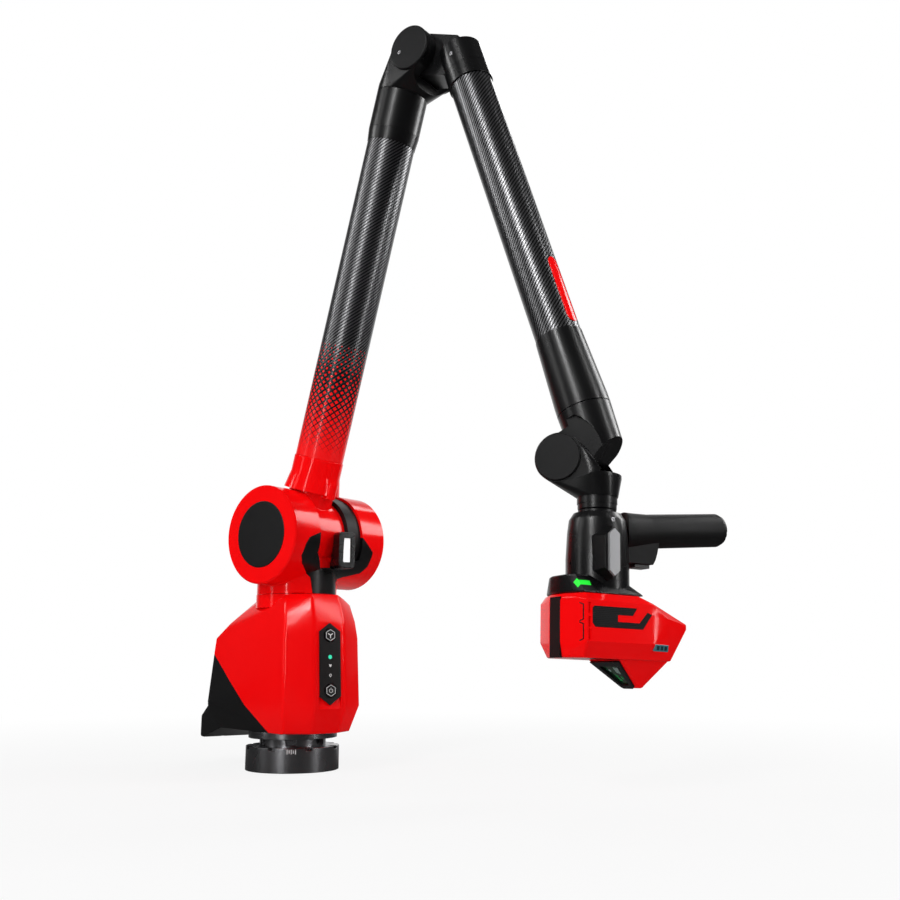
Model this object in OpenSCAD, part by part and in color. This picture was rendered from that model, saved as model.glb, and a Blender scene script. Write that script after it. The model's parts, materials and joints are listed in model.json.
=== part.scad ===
// Portable seven-axis measuring arm with a captive mount ring, a swivelling shoulder,
// two carbon tubes, offset elbow and wrist hinges, and a hand unit with grip and laser scanner.
// Millimetres, +Z up. The origin is the centre of the mount ring's bottom face.
// +X is the way the arm leans at rest, and the base front is turned from it by base_turn.

/* [Mount] */
// outside diameter of the captive mount ring
ring_diameter = 103; // [98:1:120]
// height of the captive mount ring
ring_height = 26; // [24:1:32]
// thread bore of the mount ring, 3.5 inch
thread_bore = 88.9; // [80:0.1:92]
// diameter of the pillar that carries the base
pillar_diameter = 73; // [60:1:78]

/* [Base] */
// turn of the base front from the arm's plane at rest
base_turn = 19; // [-90:1:90]
// height of the base's underside above the mount face
base_bottom = 42; // [40:1:60]
// height of the seam between base and shoulder
seam_height = 191; // [180:1:230]
// distance of the control panel's face from the swivel axis
panel_reach = 85; // [80:1:100]
// wall of the base shell
base_wall = 4; // [3:0.5:6]
// radius of the base neck at the seam
neck_radius = 45.7; // [42:0.1:50]
// radius of the swivel spindle
spindle_radius = 20; // [16:0.5:22]
// travel of the panel buttons
panel_travel = 1.2; // [0.6:0.1:2]

/* [Shoulder] */
// height of the shoulder hinge above the seam
shoulder_height = 64.7; // [58:0.1:90]
// shoulder hinge ahead of the swivel axis
shoulder_offset = 4; // [0:0.5:8]
// radius of the shoulder drums
drum_radius = 55; // [54:0.5:58]
// arm's plane to the outer face of the near drum
drum_reach = 62; // [58:0.5:70]
// arm's plane to the outer face of the far drum
drum_far = 84; // [76:0.5:90]
// width of the dark liner inside the far drum
liner_width = 21; // [12:0.5:26]
// half width of the gap between the drums
drum_gap = 24; // [22:0.5:26]
// lean of the upper arm at rest
upper_lean = 16.15; // [-20:0.05:40]

/* [Upper arm] */
// radius of the upper carbon tube
upper_radius = 27.6; // [26:0.1:29]
// wall of both carbon tubes
tube_wall = 3; // [2:0.1:4]
// shoulder hinge to the start of the bare upper tube
upper_start = 95.2; // [90:0.1:110]
// shoulder hinge to the end of the bare upper tube
upper_end = 467.8; // [300:0.1:700]
// roll of the elbow fork about the upper tube at rest
upper_roll = 1.5; // [-20:0.1:20]

/* [Elbow] */
// roll seam of the upper tube to the elbow hinge
elbow_rise = 42.1; // [38:0.1:50]
// elbow hinge ahead of the upper tube's axis
elbow_offset = 25.6; // [24:0.1:36]
// elbow hinge to the forearm's axis
forearm_offset = 41.4; // [38:0.1:48]
// radius of the elbow barrels
elbow_radius = 25.5; // [24:0.1:27]
// half width over the elbow caps
elbow_reach = 36; // [34:0.5:42]
// half width of the elbow tongue
elbow_tongue = 17.7; // [15:0.1:19]
// bend of the elbow at rest, 0 being straight
elbow_bend = 145.4; // [20:0.1:157]

/* [Forearm] */
// radius of the forearm's carbon tube
forearm_radius = 23.4; // [22:0.1:24.5]
// radius of the forearm head
head_radius = 24.6; // [24:0.1:27]
// elbow hinge level to the forearm roll seam
forearm_length = 476.6; // [350:0.1:650]
// length of the sleeve above the roll seam
sleeve_length = 82.6; // [70:0.1:110]
// radius of the sleeve at the roll seam
sleeve_radius = 26.8; // [26:0.1:29]
// roll of the wrist about the forearm at rest
forearm_roll = -9.1; // [-40:0.1:40]

/* [Wrist] */
// forearm roll seam to the wrist hinge
wrist_drop = 42.2; // [40:0.1:50]
// wrist hinge to the forearm axis
wrist_offset = 31.6; // [30:0.1:36]
// wrist hinge to the hand axis
hand_offset = 29; // [28:0.1:36]
// radius of the wrist barrels
wrist_radius = 24; // [22:0.1:25]
// half width over the wrist caps
wrist_reach = 30; // [28:0.5:34]
// half width of the wrist tongue
wrist_tongue = 22.6; // [15:0.1:23.4]
// bend of the wrist at rest, 0 being straight
wrist_bend = 18.9; // [0:0.1:110]

/* [Hand unit] */
// roll of the hand unit about its neck at rest
hand_roll = 126.8; // [0:0.1:360]
// radius of the neck
neck_small = 18.4; // [16.8:0.1:20]
// radius of the hand unit's body
hand_radius = 29.5; // [28:0.1:32]
// hand axis to the end of the grip
grip_reach = 146; // [130:1:180]
// rise of the grip towards its end
grip_tilt = 6; // [0:0.5:12]
// radius of the grip
grip_radius = 16.5; // [15:0.1:18]
// travel of the side button
button_travel = 1.5; // [0.8:0.1:2.5]
// travel of the trigger
trigger_travel = 2.5; // [1:0.1:4]

/* [Scanner] */
// thickness of the scanner
scanner_width = 80; // [72:1:90]
// scanner's front edge ahead of the hand axis
scanner_front = 50; // [44:0.1:58]
// length of the scanner
scanner_length = 135; // [126:1:150]
// height of the scanner's body under its cover
scanner_height = 57; // [50:1:64]

/* [Hidden] */
$fn = 64;
gap = 0.4;
fit = 0.04;
ring_radius = ring_diameter / 2;
pillar_radius = pillar_diameter / 2;
spigot_flange = thread_bore / 2 - 0.9;
lip_height = 4.8;
thread_length = 13.6;
core_radius = neck_radius - 6;
core_bore = 34;
hinge_height = seam_height + shoulder_height;
spindle_top = hinge_height - drum_radius - 1.2;
far_inner = drum_gap + liner_width;
panel_tilt = 3.81;
panel_mid = 115;
pin_radius = 12;
knuckle_radius = drum_radius - 8;
collar_radius = upper_radius + 0.9;
cuff_radius = upper_radius + 1.95;
cuff_start = upper_end + 14.2;
roll_seam = upper_end + 59.4;
elbow_length = roll_seam + elbow_rise;
elbow_pin = 8;
ear_inner = elbow_tongue + gap;
cap_thick = 3;
head_top = 20.4;
ring_top = 50.4;
tube_top = ring_top + 18.8;
sleeve_top = forearm_length - sleeve_length;
wrist_length = forearm_length + wrist_drop;
wrist_pin = 7;
wrist_ear = wrist_tongue + gap;
cup_floor = 15;
ear_reach = 42.4;
neck_top = 34;
neck_seam = 48.6;
hand_top = neck_seam + gap;
cover_top = 112;
scanner_top = 129;
grip_level = 69;
button_shift = -8.5;
button_level = 92;
front_half = 10.4;
lens_start = 57;
lens_run = 29;
lens_drop = 24.5;
side = scanner_width / 2;

// frames, from the base out to the hand unit
module at_base() { rotate([0, 0, -base_turn]) children(); }
module at_panel() {
    at_base() translate([panel_reach, 0, panel_mid]) rotate([0, -panel_tilt, 0]) children();
}
module at_shoulder() {
    translate([shoulder_offset, 0, hinge_height]) children();
}
module at_upper() { at_shoulder() rotate([0, upper_lean, 0]) children(); }
module at_fork() { at_upper() rotate([0, 0, upper_roll]) children(); }
module at_elbow() { at_fork() translate([elbow_offset, 0, elbow_length]) children(); }
module at_forearm() {
    at_elbow() rotate([0, elbow_bend, 0]) translate([-forearm_offset, 0, 0]) children();
}
module at_tongue() { at_forearm() rotate([0, 0, forearm_roll]) children(); }
module at_wrist() { at_tongue() translate([wrist_offset, 0, wrist_length]) children(); }
module at_neck() {
    at_wrist() rotate([0, wrist_bend, 0]) translate([-hand_offset, 0, 0]) children();
}
module at_hand() { at_neck() rotate([0, 0, hand_roll]) children(); }

// shared shapes
module ring(outer, inner, low, high) {
    difference() {
        translate([0, 0, low]) cylinder(r = outer, h = high - low);
        translate([0, 0, low - 1]) cylinder(r = inner, h = high - low + 2);
    }
}
module rod(radius, low, high) { translate([0, 0, low]) cylinder(r = radius, h = high - low); }
module across(radius, low, high) {
    translate([0, low, 0]) rotate([-90, 0, 0]) cylinder(r = radius, h = high - low);
}
module pair(low, high, radius) {
    across(radius, low, high);
    across(radius, -high, -low);
}
// a flat figure in Y and Z, drawn out along X
module face(low, high) {
    translate([low, 0, 0]) rotate([90, 0, 90]) linear_extrude(height = high - low) children();
}
// a flat figure in X and Z, drawn out along Y
module profile(low, high) {
    translate([0, high, 0]) rotate([90, 0, 0]) linear_extrude(height = high - low) children();
}
function long_hex(w, h, t) = [[-w, t - h], [0, -h], [w, t - h], [w, h - t], [0, h], [-w, h - t]];

// base
function plan(front, half, fx, fy, rear, ry) =
    [[front, -half], [front, half], [fx, fy], [rear, ry], [rear, -ry], [fx, -fy]];
module slice(level, points, inset) {
    translate([0, 0, level]) linear_extrude(height = 0.01) offset(delta = -inset) polygon(points);
}
// the front facet lies in the panel's plane
function front_at(level) = panel_reach + (panel_mid - level) * tan(panel_tilt);
module base_form(inset = 0) {
    reach = panel_reach;
    hull() {
        slice(base_bottom + inset, plan(reach - 9, 16, 58, 40, -84, 55), inset);
        slice(base_bottom + 28, plan(front_at(base_bottom + 28), 18.5, 69, 46, -97, 65), inset);
        slice(seam_height - 49, plan(front_at(seam_height - 49), 18.5, 65, 45, -88, 61), inset);
        slice(seam_height - 31, plan(reach - 3.6, 18, 62, 43, -71, 50), inset);
        slice(seam_height - 13 - inset, plan(reach - 10, 17, 55, 40, -50, 36), inset);
        slice(seam_height - 6 - inset, plan(reach - 13, 16, 48, 36, -44, 30), inset);
        slice(seam_height - 2 - inset, plan(reach - 15, 15.5, 44, 30, -20, 30), inset);
    }
}
module base_shell() {
    difference() {
        base_form();
        base_form(base_wall);
        rod(core_radius, base_bottom - 1, seam_height + 9);
    }
}
// everything below the slanting joint between housing and rear pod
module below_joint(shift = 0) {
    profile(-120, 120) polygon([[-160, 176 + shift], [32, 40 + shift], [32, 20], [-160, 20]]);
}
module panel_outline(grow = 0) { polygon(long_hex(12.5 + grow, 43 + grow, 9)); }
module base_housing() {
    color("red") difference() {
        union() {
            at_base() base_form();
            rod(neck_radius, seam_height - 15, seam_height - gap);
        }
        at_base() {
            base_form(base_wall);
            below_joint();
        }
        rod(core_radius, base_bottom - 1, seam_height + 9);
        // slanting facet under the panel
        at_panel() translate([1.2, 0, -55]) rotate([0, -9, 0]) face(-0.6, 12)
            polygon([[-13, 9], [0, 0], [13, 9], [13, 22], [0, 13], [-13, 22]]);
        at_panel() {
            face(-1, 12) panel_outline();
            for (level = [30, -28]) translate([-20, 0, level]) rotate([0, 90, 0]) {
                cylinder(r = 7.5, h = 30);
                // room behind the wall for the key's flange
                cylinder(r = 9.3, h = 20 - base_wall - 0.1);
            }
        }
    }
}
module rear_pod() {
    color("dimgray") at_base() difference() {
        union() {
            intersection() {
                base_shell();
                below_joint(-0.02);
            }
            difference() {
                hull() {
                    translate([-90, 0, base_bottom]) linear_extrude(height = 38) square([20, 106], center = true);
                    translate([-126, 0, base_bottom - 13]) linear_extrude(height = 23) square([8, 118], center = true);
                }
                base_form();
            }
        }
        for (y = [-34, 34]) translate([-124, y, base_bottom - 14]) cylinder(r = 3, h = 10);
    }
}
module base_core() {
    color("silver") difference() {
        union() {
            rod(core_radius, base_bottom, seam_height - 5);
        }
        rod(core_bore, base_bottom + 8, seam_height + 9);
        rod(spindle_radius + 8, base_bottom - 1, base_bottom + 18);
    }
}
module mount_pillar() {
    color("gray") difference() {
        union() {
            rod(pillar_radius, 14, 35);
            rod(spigot_flange, 14, ring_height - lip_height - gap);
            rod(49, 34.5, base_bottom);
        }
        rod(24, 10, 50);
        for (turn = [0 : 60 : 300]) rotate([0, 0, turn + 12]) translate([pillar_radius - 3, -6, 27]) cube([10, 12, 7.6]);
    }
}
module mount_ring() {
    color("dimgray") difference() {
        rod(ring_radius, 0, ring_height);
        rod(thread_bore / 2, -1, ring_height - lip_height);
        rod(thread_bore / 2 + 1.2, thread_length, ring_height - lip_height);
        rod(pillar_radius + fit, -1, ring_height + 1);
        for (turn = [0 : 45 : 315])
            rotate([0, 0, turn + 20]) translate([ring_radius - 8, -4, ring_height - 3]) cube([10, 8, 4]);
    }
}
module control_panel() {
    color("dimgray") at_panel() difference() {
        face(-1, 1.2) panel_outline();
        for (level = [30, -28]) translate([-3, 0, level]) rotate([0, 90, 0]) cylinder(r = 7.5, h = 6);
        translate([-3, 0, 7]) rotate([0, 90, 0]) cylinder(r = 2.2, h = 6);
        for (level = [-2, -12]) translate([-3, 0, level]) rotate([0, 90, 0]) cylinder(r = 2.2, h = 6);
    }
}
module panel_icons() {
    color("white") at_panel()
        for (level = [-2, -12]) translate([-1, 0, level]) rotate([0, 90, 0]) cylinder(r = 2.2, h = 2.3);
}
module status_led() {
    color("lime") at_panel() translate([-1, 0, 7]) rotate([0, 90, 0]) cylinder(r = 2.2, h = 2.6);
}
module panel_key(level) {
    at_panel() translate([0, 0, level]) {
        face(-4.5, 2.4) rotate(90) circle(r = 7.1, $fn = 6);
        face(-6, -4.5) circle(r = 8.8, $fn = 32);
    }
}
module mode_button() { color("gray") panel_key(30); }
module power_button() { color("gray") panel_key(-28); }
module swivel_bearings() {
    color("lightgray") for (low = [base_bottom + 42, seam_height - 27]) ring(core_bore, spindle_radius + fit, low, low + 16);
}

// shoulder fork
module v_outline() {
    polygon([[-drum_gap, 2], [-41, -5], [-45, -12], [-47, -25], [-41, -33], [-24, -43], [-20, -47], [-17, -66],
        [22, -66], [22, -50], [34, -44], [58, -38], [64, -30], [65, -14], [far_inner, 2], [far_inner, -24],
        [20, -34], [-10, -36], [-drum_gap, -20]]);
}
// the band on the front of the fork that the dark trim fills
module trim_band() {
    intersection() {
        face(30, 90) v_outline();
        difference() {
            union() {
                across(drum_radius + 0.4, -50, 80);
                translate([-shoulder_offset, 0, 0])
                    ring(neck_radius - 0.1, neck_radius - 6, seam_height - hinge_height + 0.3, -24);
            }
            across(knuckle_radius + 1.2, -51, 81);
        }
    }
}
// room in which the upper arm tilts between the drums
module arm_room() {
    across(knuckle_radius + 0.6, -drum_gap, drum_gap);
    intersection() {
        across(90, -drum_gap, drum_gap);
        profile(-60, 60) polygon([[0, 0], [110, -60], [110, 110], [-110, 110], [-110, -30]]);
    }
}
module drums(near, far, radius) {
    across(radius, near - drum_reach, -drum_gap);
    across(radius, far_inner, drum_far - far);
}
module shoulder_fork() {
    color("red") difference() {
        union() {
            at_shoulder() drums(0, 0, drum_radius);
            at_shoulder() across(drum_radius - 5, 0, far_inner);
            intersection() {
                at_shoulder() across(drum_radius, -drum_gap, far_inner);
                translate([0, 0, hinge_height - drum_radius]) rod(90, -1, 17);
            }
            rod(neck_radius - 0.5, seam_height, hinge_height - 24);
        }
        at_shoulder() {
            arm_room();
            trim_band();
            liner_form();
            bezel_place(knuckle_radius - 14, 90) square([20.4, 40.4], center = true);
            across(37, -drum_reach - 1, 3 - drum_reach);
            across(37, drum_far - 3, drum_far + 1);
            across(pin_radius, -drum_reach, drum_far);
            for (y = [-drum_reach - 4, drum_far + 4]) translate([0, y, 0]) rotate([90, 0, 0])
                rotate_extrude() translate([drum_radius + 1, 0]) rotate(45) square(9, center = true);
        }
        rod(spindle_radius, seam_height - 1, spindle_top);
    }
}
// dark cup that lines the inner side of the far drum
module liner_form() {
    difference() {
        across(drum_radius - 3, drum_gap, far_inner);
        across(drum_radius - 5, drum_gap + 3, far_inner + 1);
        profile(-90, 90) polygon([[-90, -90], [90, -90], [90, -36], [-90, -36]]);
    }
}
module drum_liner() {
    color("dimgray") at_shoulder() difference() {
        liner_form();
        across(pin_radius, -90, 90);
        arm_room();
        trim_band();
        bezel_place(0, 90) square([20.4, 40.4], center = true);
    }
}
module swivel_spindle() { color("lightgray") rod(spindle_radius, base_bottom + 32, spindle_top); }
module spindle_nut() {
    color("lightgray") ring(27, spindle_radius, base_bottom + 33, base_bottom + 41.6);
}
module shoulder_caps() {
    color("dimgray") at_shoulder() {
        across(37, -drum_reach - 0.8, 3 - drum_reach);
        across(37, drum_far - 3, drum_far + 0.8);
    }
}
module shoulder_pin() {
    color("lightgray") at_shoulder() across(pin_radius, 3 - drum_reach, drum_far - 3);
}
module fork_trim() {
    color("dimgray") at_shoulder() difference() {
        trim_band();
        bezel_place(0, 90) square([20.4, 40.4], center = true);
    }
}
module bezel_place(low, high) {
    translate([drum_radius + 9, 9, -16]) rotate([0, 0, -20])
        translate([-drum_radius - 9, 0, 0]) face(low, high) children();
}
module light_bezel() {
    color("dimgray") at_shoulder() difference() {
        bezel_place(34, drum_radius + 10) difference() {
            square([20.4, 40.4], center = true);
            for (y = [-1, 1], z = [-1, 1]) translate([10.2 * y, 20.2 * z]) rotate(45) square(4, center = true);
        }
        bezel_place(drum_radius + 6, drum_radius + 11) square([9, 27], center = true);
        across(knuckle_radius + 1.2, -60, 60);
    }
}
module light_window() {
    color("white") at_shoulder() bezel_place(drum_radius + 6, drum_radius + 8.6) square([9, 27], center = true);
}

// upper arm
module shoulder_knuckle() {
    spigot = upper_radius - tube_wall;
    color("red") at_upper() difference() {
        union() {
            across(knuckle_radius, gap - drum_gap, drum_gap - gap);
            intersection() {
                rod(26, 10, 60);
                across(80, gap - drum_gap, drum_gap - gap);
            }
            translate([0, 0, drum_radius + 1.4]) cylinder(r1 = 32.5, r2 = collar_radius, h = 20);
            rod(collar_radius, drum_radius + 20, upper_start);
            rod(spigot, upper_start - 2, upper_start + 26);
            intersection() {
                translate([29, 0, 53]) cylinder(r = 7, h = 17);
                across(80, gap - drum_gap, drum_gap - gap);
            }
        }
        across(pin_radius + fit, -30, 30);
        across(34, -15, 15);
        rod(18, 30, upper_start + 30);
    }
}
module balance_spring() {
    color("silver") at_upper() difference() {
        across(34, -15, 15);
        across(26, -16, 16);
        for (y = [-11 : 4 : 11]) across(40, y, y + 1.2);
        for (turn = [0 : 120 : 240]) rotate([0, turn, 0]) translate([30, -20, -1]) cube([10, 40, 2]);
    }
}
module upper_tube() {
    color("dimgray") at_upper()
        ring(upper_radius, upper_radius - tube_wall, upper_start, upper_end + 6);
}
module upper_taper() {
    color("black") at_upper() difference() {
        translate([0, 0, upper_end]) cylinder(r1 = upper_radius + 0.5, r2 = cuff_radius, h = cuff_start - upper_end);
        rod(upper_radius, upper_end - 1, upper_end + 6);
        rod(upper_radius - tube_wall, upper_end, cuff_start + 1);
    }
}
module upper_cuff() {
    inner = upper_radius - tube_wall;
    color("black") at_upper() difference() {
        union() {
            rod(cuff_radius, cuff_start, roll_seam - gap);
            rod(inner, upper_end - 16, cuff_start + 1);
        }
        rod(inner - 3, upper_end - 17, roll_seam - 8);
        rod(15, upper_end, roll_seam + 1);
    }
}
module upper_bearing() {
    color("lightgray") at_upper() ring(upper_radius - tube_wall - 3, 14 + fit, roll_seam - 26, roll_seam - 8);
}

// elbow
module elbow_fork() {
    color("black") {
        at_fork() {
            rod(14, roll_seam - 36, roll_seam + 4);
        }
        at_fork() difference() {
            union() {
                hull() {
                    rod(cuff_radius, roll_seam, roll_seam + 7, $fn = 48);
                    translate([elbow_offset, 0, elbow_length])
                        across(elbow_radius, cap_thick - elbow_reach, elbow_reach - cap_thick, $fn = 48);
                }
            }
            translate([elbow_offset, 0, elbow_length]) {
                across(elbow_radius + 1, -ear_inner, ear_inner);
                profile(-ear_inner, ear_inner) polygon([[-70, -elbow_radius], [6, -elbow_radius],
                    [60, -60], [80, 60], [-70, 60]]);
                across(elbow_pin, -60, 60);
                // hollow throat under the hinge on the folding side
                translate([34, 0, -40]) across(27, -60, 60);
            }
        }
    }
}
module elbow_caps() {
    color("gray") at_elbow() difference() {
        pair(elbow_reach - cap_thick, elbow_reach, elbow_radius);
        for (s = [-1, 1]) translate([0, s * (elbow_reach + 1.2), 0]) rotate([90, 0, 0])
            rotate_extrude() translate([elbow_radius + 1, 0]) rotate(45) square(4.6, center = true);
        translate([-12.5, 0, -5.5]) across(2.2, -60, 60);
    }
}
module elbow_pins() {
    color("lightgray") at_elbow() across(elbow_pin, cap_thick - elbow_reach, elbow_reach - cap_thick);
}
module elbow_screws() {
    color("silver") at_elbow() translate([-12.5, 0, -5.5]) difference() {
        pair(elbow_reach - cap_thick, elbow_reach - 0.6, 2.2);
        pair(elbow_reach - 1.6, elbow_reach, 1.1, $fn = 6);
    }
}
module upper_retainer() {
    color("lightgray") at_fork() ring(19, 14, roll_seam - 34, roll_seam - 26.5);
}

// forearm
module forearm_head() {
    spigot = forearm_radius - tube_wall;
    color("black") at_forearm() difference() {
        union() {
            difference() {
                rod(head_radius, head_top, ring_top);
                for (s = [-1, 1]) translate([forearm_offset, s * (elbow_tongue + 20), 0])
                    across(elbow_radius + 0.8, -20, 20);
            }
            hull() {
                translate([forearm_offset, 0, 0]) across(elbow_radius - 0.6, -elbow_tongue, elbow_tongue, $fn = 48);
                translate([-12, -elbow_tongue, head_top - 7]) cube([14, elbow_tongue * 2, 26]);
                translate([6, -elbow_tongue, head_top + 2]) cube([14, elbow_tongue * 2, 25]);
            }
            rod(spigot, ring_top - 1, tube_top + 24);
        }
        translate([forearm_offset, 0, 0]) across(elbow_pin + fit, -40, 40);
        rod(spigot - 5, head_top + 17, tube_top + 30);
        translate([0, -30, head_top + 15]) rotate([-90, 0, 0]) cylinder(r = 2.2, h = 9);
    }
}
module head_screw() {
    color("silver") at_forearm() translate([0, 0, head_top + 15]) difference() {
        across(2.2, -24, -21);
        across(1.1, -26, -22.6, $fn = 6);
    }
}
module forearm_ring() {
    color("gray") at_forearm() difference() {
        translate([0, 0, ring_top]) cylinder(r1 = head_radius, r2 = forearm_radius + 1.6, h = tube_top - ring_top);
        rod(forearm_radius, tube_top - 8, tube_top + 1);
        rod(forearm_radius - tube_wall, ring_top - 1, tube_top + 1);
    }
}
module forearm_tube() {
    color("dimgray") at_forearm()
        ring(forearm_radius, forearm_radius - tube_wall, tube_top - 8, sleeve_top + 8);
}
module forearm_inlay() {
    turn = -170;
    middle = sleeve_top - 44;
    color("red") at_forearm() rotate([0, 0, turn]) intersection() {
        ring(forearm_radius + 0.5, forearm_radius, middle - 60, middle + 42);
        face(0, 40) {
            translate([0, middle]) square([14, 62], center = true);
            for (s = [-1, 1]) translate([0, middle + s * 31]) circle(r = 7);
        }
    }
}
module forearm_sleeve() {
    inner = forearm_radius - tube_wall;
    color("black") at_forearm() difference() {
        union() {
            translate([0, 0, sleeve_top])
                cylinder(r1 = forearm_radius + 0.6, r2 = sleeve_radius, h = sleeve_length - 10);
            rod(sleeve_radius, forearm_length - 10, forearm_length - gap);
        }
        rod(forearm_radius, sleeve_top - 1, sleeve_top + 8);
        rod(inner, sleeve_top, forearm_length - 8);
        rod(12, forearm_length - 20, forearm_length + 1);
    }
}
module forearm_bearing() {
    color("lightgray") at_forearm()
        ring(forearm_radius - tube_wall, 11 + fit, forearm_length - 24, forearm_length - 8);
}

// wrist
module wrist_tongue_end() {
    color("black") at_tongue() difference() {
        union() {
            rod(11, forearm_length - 34, forearm_length + 4);
            difference() {
                translate([0, 0, forearm_length])
                    cylinder(r1 = sleeve_radius, r2 = sleeve_radius - 2, h = wrist_drop + 13);
                // slanting cut on the outer side
                profile(-40, 40) polygon([[-60, wrist_length - 20], [-60, wrist_length + 30], [12, wrist_length + 30],
                    [4, wrist_length + 13], [-27, wrist_length - 4]]);
                // flat sides that pass between the ears of the fork
                for (s = [-1, 1]) translate([0, s * (wrist_tongue + 20), 0]) profile(-20, 20) intersection() {
                    translate([wrist_offset, wrist_length]) circle(r = ear_reach + 0.6);
                    translate([-60, forearm_length + 9]) square([140, 90]);
                }
            }
            hull() {
                translate([wrist_offset, 0, wrist_length])
                    across(wrist_radius - 1, -wrist_tongue, wrist_tongue, $fn = 48);
                translate([-6, -wrist_tongue, wrist_length - 26]) cube([20, wrist_tongue * 2, 30]);
            }
        }
        translate([wrist_offset, 0, wrist_length]) across(wrist_pin + fit, -40, 40);
    }
}
module forearm_retainer() {
    color("lightgray") at_tongue() ring(16, 11, forearm_length - 33, forearm_length - 24.5);
}
module wrist_fork() {
    color("black") at_wrist() rotate([0, wrist_bend, 0]) difference() {
        union() {
            hull() {
                across(wrist_radius, cap_thick - wrist_reach, wrist_reach - cap_thick, $fn = 48);
                translate([-hand_offset, 0, 0]) scale([0.84, 1, 1])
                    rod(wrist_reach - cap_thick, cup_floor - 2, cup_floor + 3, $fn = 48);
                translate([-hand_offset, 0, 0]) rod(neck_small + 1.4, neck_top + 1, neck_top + 2, $fn = 48);
            }
            translate([-hand_offset, 0, 0]) {
                rod(neck_small, neck_top, neck_seam);
                rod(neck_small + 0.6, neck_top, neck_seam - 6);
            }
        }
        across(wrist_radius, -wrist_ear, wrist_ear);
        // room for the forearm's end between the ears
        profile(-wrist_ear, wrist_ear)
            polygon([[-75, -50], [60, -50], [60, 0], [20, 0], [0, cup_floor], [-75, cup_floor]]);
        // the ears stay within the flat sides of the forearm's end
        profile(-60, 60) difference() {
            polygon([[-75, -60], [60, -60], [60, 0], [0, 0], [-30, cup_floor], [-75, cup_floor]]);
            circle(r = ear_reach);
        }
        across(wrist_pin, -60, 60);
        translate([-hand_offset, 0, 0]) {
            rod(14, neck_top - 10, neck_seam - 3);
            rod(9, neck_top, neck_seam + 1);
        }
    }
}
module wrist_caps() {
    color("gray") at_wrist() rotate([0, wrist_bend, 0]) difference() {
        pair(wrist_reach - cap_thick, wrist_reach, wrist_radius - 1.4);
        for (s = [-1, 1]) translate([0, s * (wrist_reach + 1), 0]) rotate([90, 0, 0])
            rotate_extrude() translate([wrist_radius - 0.6, 0]) rotate(45) square(3.6, center = true);
    }
}
module wrist_shaft() {
    color("lightgray") at_wrist() across(wrist_pin, cap_thick - wrist_reach, wrist_reach - cap_thick);
}
module neck_bearing() {
    color("lightgray") at_neck() ring(14, 8 + fit, neck_top + 2, neck_seam - 3);
}

// hand unit, X along the grip, Y to the button side, Z down
module button_place() { translate([button_shift, 0, button_level]) rotate([0, 0, 90]) children(); }
module button_seat() {
    hull() {
        face(14, hand_radius - 5) polygon(long_hex(11.4, 26.4, 10.5));
        face(14, hand_radius + 8.5) polygon(long_hex(8.6, 23, 8.6));
    }
}
module screw_place() { translate([0, 20, hand_top + 11]) rotate([-90, 0, 0]) children(); }
module hand_body() {
    color("black") at_hand() difference() {
        union() {
            rod(8, neck_top - 8, hand_top + 2);
            translate([0, 0, hand_top]) rotate_extrude() polygon([[0, 0], [neck_small - 0.4, 0],
                [neck_small - 0.4, 2], [22.5, 3], [26.6, 9.5], [28.2, 22], [hand_radius, 46],
                [hand_radius, scanner_top - 4 - hand_top], [0, scanner_top - 4 - hand_top]]);
            // raised six-sided seat of the side button
            button_place() button_seat();
        }
        cover_form();
        button_place() face(hand_radius + 1, 60) polygon(long_hex(5.8, 21.8, 5));
        button_place() face(20, hand_radius + 2) circle(r = 3.4);
        screw_place() cylinder(r = 2.2, h = 12);
        translate([-hand_radius - 2, 0, cover_top - 12]) rotate([0, 90, 0]) cylinder(r = 1.3, h = 6);
    }
}
module hand_retainer() {
    color("lightgray") at_hand() ring(12, 8, neck_top - 7, neck_top + 1.5);
}
module hand_screws() {
    color("silver") at_hand() screw_place() difference() {
        cylinder(r = 2.2, h = 6.2);
        translate([0, 0, 5]) cylinder(r = 1.1, h = 4, $fn = 6);
    }
}
module side_button() {
    color("silver") at_hand() button_place() {
        face(hand_radius + 3.5, hand_radius + 11.5) polygon(long_hex(5.4, 21.4, 4.8));
        face(22, hand_radius + 4) circle(r = 3);
    }
}
// the grip's own solid, its axis rising from the hand axis
module grip_form(reach) {
    translate([0, 0, grip_level]) rotate([0, 90 + grip_tilt, 0]) rotate_extrude() polygon([[0, 14], [19.4, 14], [18.8, 30],
        [17.6, 42], [grip_radius, 56], [grip_radius, reach - 6], [grip_radius - 1.8, reach - 1.8],
        [grip_radius - 6, reach], [0, reach]]);
}
module grip() {
    color("black") at_hand() difference() {
        grip_form(grip_reach);
        rod(hand_radius, 20, cover_top + 10);
    }
}
module trigger_housing() {
    low = grip_level + 27;
    color("black") at_hand() difference() {
        profile(-11, 11) polygon([[hand_radius - 6, grip_level - 6], [66, grip_level - 6], [61, grip_level + 16],
            [59, low - 5], [56, low], [hand_radius - 6, low]]);
        rod(hand_radius, 40, cover_top + 10);
        grip_form(grip_reach);
        translate([37, -7.4, low - 4.5]) cube([18, 14.8, 20]);
        translate([46, 0, low - 10]) cylinder(r = 3.4, h = 10);
    }
}
module trigger() {
    low = grip_level + 27;
    color("red") at_hand() {
        translate([37.4, -7, low - 1.5]) cube([17.2, 14, 5]);
        translate([46, 0, low - 7.4]) cylinder(r = 3, h = 7);
    }
}

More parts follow.
